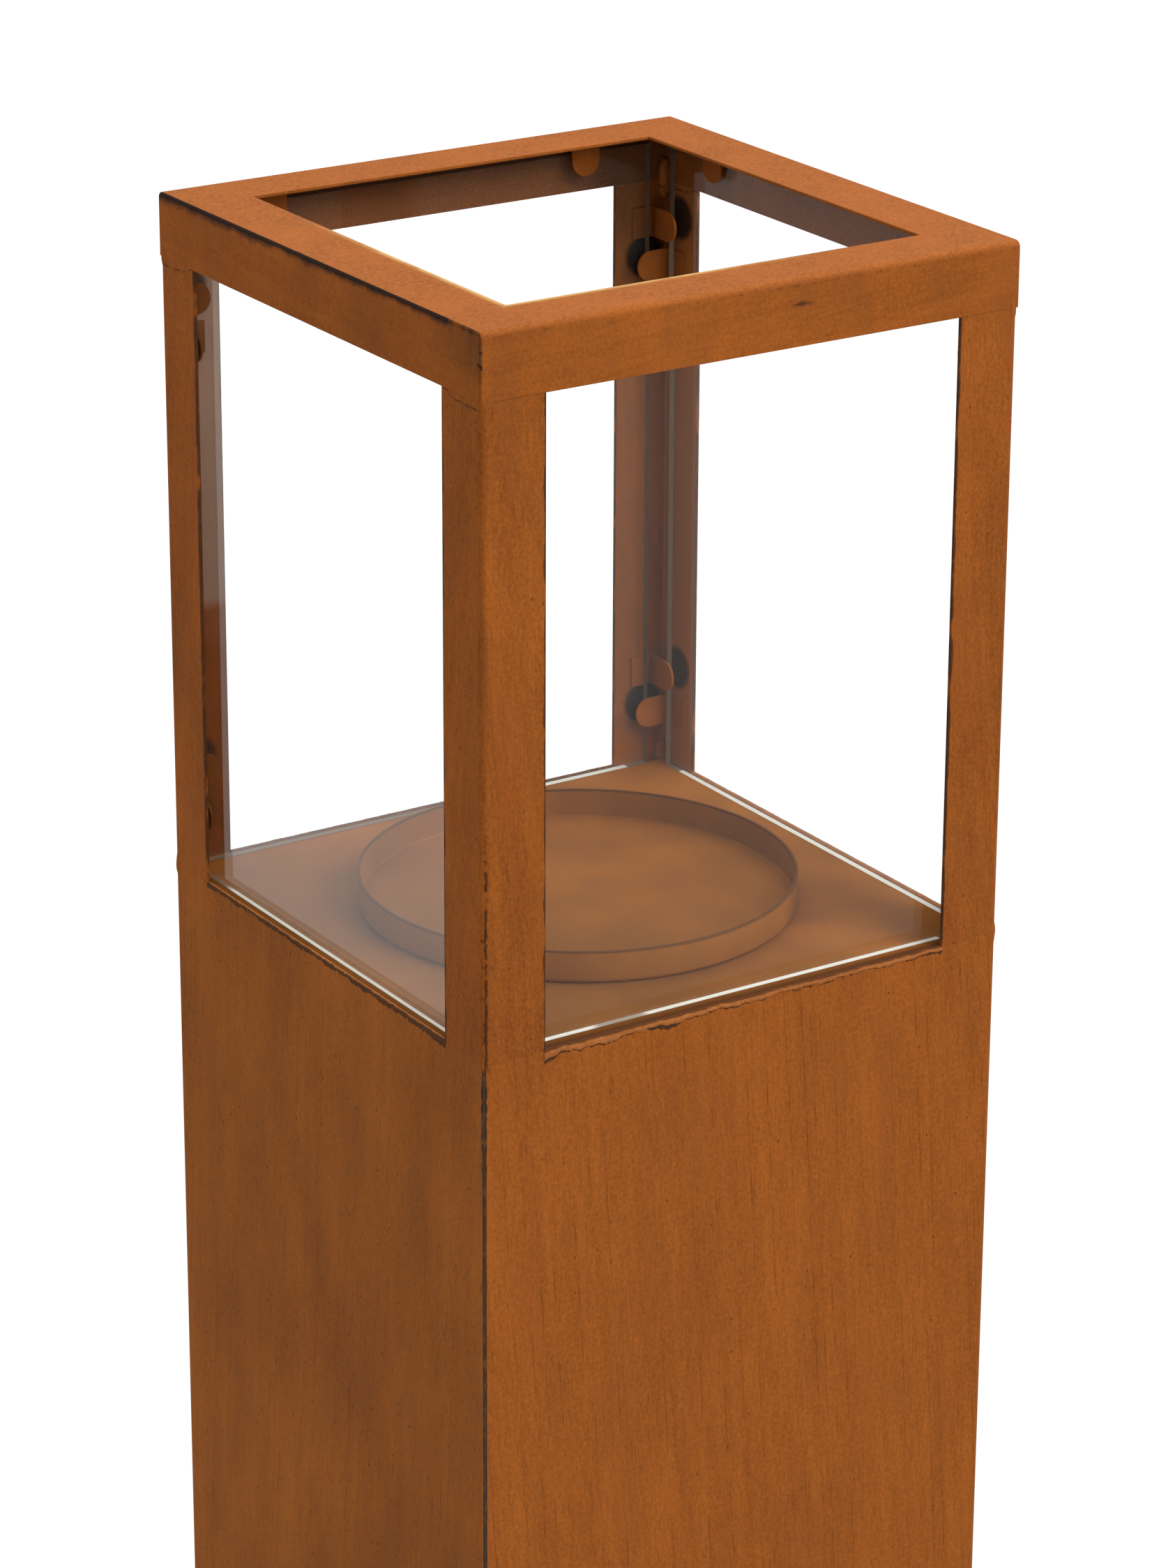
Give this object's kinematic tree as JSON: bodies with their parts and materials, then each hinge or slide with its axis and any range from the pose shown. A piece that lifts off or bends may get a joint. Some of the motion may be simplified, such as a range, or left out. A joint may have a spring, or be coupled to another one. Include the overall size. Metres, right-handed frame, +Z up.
{
  "type": "display plinth",
  "caption": "Square steel column with a glazed, open-topped lantern head and a loose round dish on its shelf, to show a candle or a small exhibit.",
  "frame": {"origin": "on the floor, under the middle of the column's foot", "axes": "+Z up the column, front wall towards -Y, right wall towards +X"},
  "size_m": [0.22, 0.22, 1],
  "materials": {
    "wall_paint": "matte, brushed rust",
    "head_paint": "matte, brushed rust",
    "inner_paint": "matte rust",
    "dish_paint": "matte rust",
    "clip_paint": "matte rust",
    "seam_weld": "dark, rough",
    "glass": "clear float glass"
  },
  "bodies": {
    "column": {"front_shell": "wall_paint", "rear_shell": "wall_paint", "seam_welds": "seam_weld", "base_tray": "inner_paint", "shelf_tray": "inner_paint", "front_left_post": "head_paint", "front_right_post": "head_paint", "rear_right_post": "head_paint", "rear_left_post": "head_paint", "cap_channel": "head_paint", "cap_left_side": "head_paint", "cap_right_side": "head_paint", "front_pane": "glass", "right_pane": "glass", "rear_pane": "glass", "left_pane": "glass", "front_side_clips": "clip_paint", "right_side_clips": "clip_paint", "rear_side_clips": "clip_paint", "left_side_clips": "clip_paint", "front_top_clips": "clip_paint", "right_top_clips": "clip_paint", "rear_top_clips": "clip_paint", "left_top_clips": "clip_paint"},
    "dish": {"dish": "dish_paint"}
  },
  "joints": [
    {"name": "dish_lift", "type": "slide", "parent": "column", "child": "dish", "axis": [0, 0, 1], "range_m": [0, 0.28]}
  ]
}
